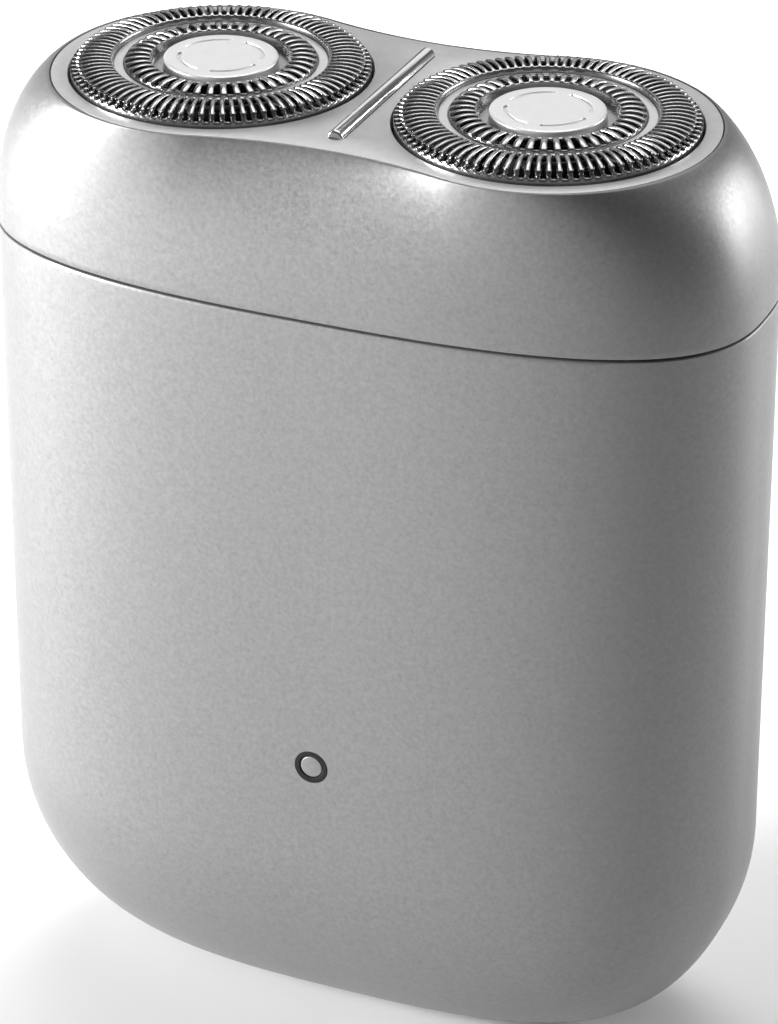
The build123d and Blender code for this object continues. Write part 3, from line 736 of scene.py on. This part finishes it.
def foil_guard(side, x):
    """The pressed steel guard: a slotted sheet that a modifier thickens inwards."""
    bm = bmesh.new()
    profile = guard_profile()
    skip = set()
    for j, ((_, _, kind), (_, _, after)) in enumerate(zip(profile, profile[1:])):
        if kind:
            skip |= {(j, i) for i in range(GUARD_STEPS) if in_slot(i, kind)}
    rings = []
    kinds = [None] + [kind for _, _, kind in profile]
    for (radius, z, kind), before in zip(profile, kinds):
        ring = []
        for i in range(GUARD_STEPS):
            c, s = turn(i, GUARD_STEPS)
            drop = rib_drop(i, kind) if kind and kind == before else 0.0
            ring.append((x + radius * c, radius * s, z - drop))
        rings.append(ring)
    skin(bm, rings, skip=skip)
    piece = finish_piece(bm, side + "_guard", side + "_guard", [side + "_foil_guard"], "guard_steel")
    thick = piece.modifiers.new("thickness", "SOLIDIFY")
    thick.thickness = FOIL * MM
    thick.offset = -1
    thick.use_even_offset = False
    thick.use_quality_normals = True
    bright_ring(side, x)


def bright_ring(side, x):
    """The polished floor of the groove between the two slotted tracks."""
    bm = bmesh.new()
    inner, outer = 7.0, 7.62
    low, high = GUARD_TOP - 0.65, GUARD_TOP - 0.55
    corner_points = [(inner, low), (inner, high), (outer, high), (outer, low), (inner, low)]
    lathe(bm, rounded(corner_points, 0.03)[:-1], 256, x=x)
    finish_piece(bm, side + "_groove", side + "_guard", [side + "_foil_guard"], "cap_metal")


CAP_ARCS = (2.84, 3.14)  # inner and outer radius of the engraved arcs
CAP_ARC_DEPTH = 0.12
CAP_ARC_GAP = 0.55  # half the gap between two arcs
CAP_CROWN = 0.05  # fall of the face from its middle to its edge
CAP_EDGE = 0.12  # height of the rounded edge
CAP_EDGE_WIDTH = 0.15
CAP_T = 0.69
PIN_R = 1.0


def guard_cap(side, x):
    """The bright centre cap, its face slightly crowned, with a ring of four engraved arcs."""
    bm = bmesh.new()
    low, high = corners(side + "_guard_cap")
    cap_r = (high.x - low.x) / 2
    steps = 256
    radii = [POLE, 0.8, 1.6, 2.4, 2.8, CAP_ARCS[0], 2.88, 3.1, CAP_ARCS[1], 3.2, 3.6, 3.9, 4.02,
             4.08, cap_r]
    rings = []
    for radius in radii:
        edge = max(radius - cap_r + CAP_EDGE_WIDTH, 0.0) / CAP_EDGE_WIDTH
        fall = CAP_CROWN * (radius / cap_r) ** 2 + CAP_EDGE * (1 - sqrt(max(1 - edge**2, 0.0)))
        in_arcs = CAP_ARCS[0] < radius < CAP_ARCS[1]
        ring = []
        for i in range(steps):
            c, s = turn(i, steps)
            cross = min(abs(radius * c), abs(radius * s))
            sunk = CAP_ARC_DEPTH if in_arcs and cross > CAP_ARC_GAP else 0.0
            ring.append((x + radius * c, radius * s, high.z - fall - sunk))
        rings.append(ring)
    under = high.z - CAP_T
    for radius, z in ((cap_r, under), (PIN_R, under), (PIN_R, low.z), (POLE, low.z)):
        rings.append(circle(radius, z, steps, x))
    close_ends(bm, skin(bm, rings))
    finish_piece(bm, side + "_cap", side + "_guard", [side + "_guard_cap"], "cap_metal", sharp=40)


# ---------------------------------------------------------------- springs
SPRING_TURNS = 3
SPINDLE_WIRE_R = 0.2
GUARD_WIRE_R = 0.22


def coil_spring(node, body, wire_r):
    """A round-wire coil that rises from its foot to the top of the node's box, on a mesh of its own.
    """
    bm = bmesh.new()
    low, high = corners(node)
    centre_x = (low.x + high.x) / 2
    radius = (high.x - low.x) / 2 - wire_r
    foot, rise = low.z + wire_r, high.z - low.z - 2 * wire_r
    slope = rise / (2 * pi * SPRING_TURNS)
    steps, sides = 64 * SPRING_TURNS, 12
    rings = []
    for i in range(steps + 1):
        angle = 2 * pi * SPRING_TURNS * i / steps
        out = Vector((cos(angle), sin(angle), 0))
        along = Vector((-radius * sin(angle), radius * cos(angle), slope)).normalized()
        up = out.cross(along)
        centre = Vector((centre_x, 0, foot + rise * i / steps)) + out * radius
        ring = [turn(j, sides) for j in range(sides)]
        rings.append([centre + (out * c + up * s) * wire_r for c, s in ring])
    close_ends(bm, skin(bm, rings))
    piece = finish_piece(bm, node + "_coil", body, [node], "spring_steel", sharp=50)
    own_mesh(piece)


# ---------------------------------------------------------------- carried-over nodes
def dress_frame_nodes():
    """Gives every node that still shows the material of its own slot."""
    for entry in frame["record"]["subparts"]:
        node = frame["nodes"][entry["node"]]
        if node.hide_render:
            continue
        node.data.materials.clear()
        node.data.materials.append(MATERIALS[entry["material_slot"]])


# ---------------------------------------------------------------- floor, lights, camera
VIEW_AZIMUTH = 23.1
VIEW_ELEVATION = 28.0
VIEW_DISTANCE = 0.3225  # in metres
LENS = 153.41
SIDE_SHIFT = 0.47  # from the part's middle to the camera's aim, to the right in the view, in mm
AIM_HEIGHT = 38.8  # in mm
VIEW_TURN = radians(VIEW_AZIMUTH)
TARGET = Vector((SIDE_SHIFT * cos(VIEW_TURN), SIDE_SHIFT * sin(VIEW_TURN), AIM_HEIGHT)) * MM


def floor():
    """The pale ground under the part, six metres across."""
    bm = bmesh.new()
    half = 3.0
    spots = ((-half, -half, 0), (half, -half, 0), (half, half, 0), (-half, half, 0))
    bm.faces.new([bm.verts.new(spot) for spot in spots])
    mesh = bpy.data.meshes.new("floor")
    bm.to_mesh(mesh)
    bm.free()
    piece = bpy.data.objects.new("floor", mesh)
    piece.data.materials.append(floor_material())
    bpy.context.scene.collection.objects.link(piece)


def direction(azimuth, elevation):
    """A unit vector towards a point at that azimuth (0 is the front, 90 is +X) and elevation."""
    az, el = radians(azimuth), radians(elevation)
    return Vector((sin(az) * cos(el), -cos(az) * cos(el), sin(el)))


def softbox(name, azimuth, elevation, distance, size, power, target=TARGET):
    """A soft rectangular lamp that faces the target; distance and size are in metres."""
    light = bpy.data.lights.new(name, "AREA")
    light.shape = "RECTANGLE"
    light.size, light.size_y = size
    light.energy = power
    lamp = bpy.data.objects.new(name, light)
    bpy.context.scene.collection.objects.link(lamp)
    lamp.location = target + direction(azimuth, elevation) * distance
    lamp.rotation_euler = (lamp.location - target).to_track_quat("Z", "Y").to_euler()
    lamp.visible_camera = False
    return light


def lights():
    softbox("left_low", -63, 8, 0.6, (0.22, 0.24), 11.0)
    softbox("rim_low", 134, 9, 0.6, (0.30, 0.20), 2.6)
    softbox("rim_high", 126, 26, 0.6, (0.50, 0.35), 0.15)
    softbox("back_high", 180, 60, 0.6, (0.50, 0.40), 1.2)
    away = 203  # the azimuth of the floor behind the part, as the camera sees it
    softbox("back_panel", away, 24, 0.6, (0.60, 0.20), 0.3)
    behind = direction(away, 0) * 0.19
    background = softbox("background", away, 80, 0.4, (0.40, 0.12), 0.4, target=behind)
    background.spread = radians(60)
    world = bpy.data.worlds.new("studio")
    world.use_nodes = True
    bpy.context.scene.world = world
    world.node_tree.nodes["Background"].inputs["Color"].default_value = (1, 1, 1, 1)
    world.node_tree.nodes["Background"].inputs["Strength"].default_value = 0.11


def camera():
    data = bpy.data.cameras.new("camera")
    data.sensor_width = 36.0
    data.lens = LENS
    data.clip_start = 0.01
    piece = bpy.data.objects.new("camera", data)
    bpy.context.scene.collection.objects.link(piece)
    piece.location = TARGET + direction(VIEW_AZIMUTH, VIEW_ELEVATION) * VIEW_DISTANCE
    piece.rotation_euler = (piece.location - TARGET).to_track_quat("Z", "Y").to_euler()
    bpy.context.scene.camera = piece


# ---------------------------------------------------------------- build
handle_shell()
button_parts()
bezel()
head_shell()
top_plate()
guide_bar()
for side, x in (("left", -HEAD_X), ("right", HEAD_X)):
    foil_guard(side, x)
    guard_cap(side, x)
    coil_spring(side + "_spindle_spring", side + "_gear", SPINDLE_WIRE_R)
    coil_spring(side + "_guard_spring", "head", GUARD_WIRE_R)
dress_frame_nodes()
floor()
lights()
camera()
bpy.context.scene.view_settings.view_transform = "Standard"
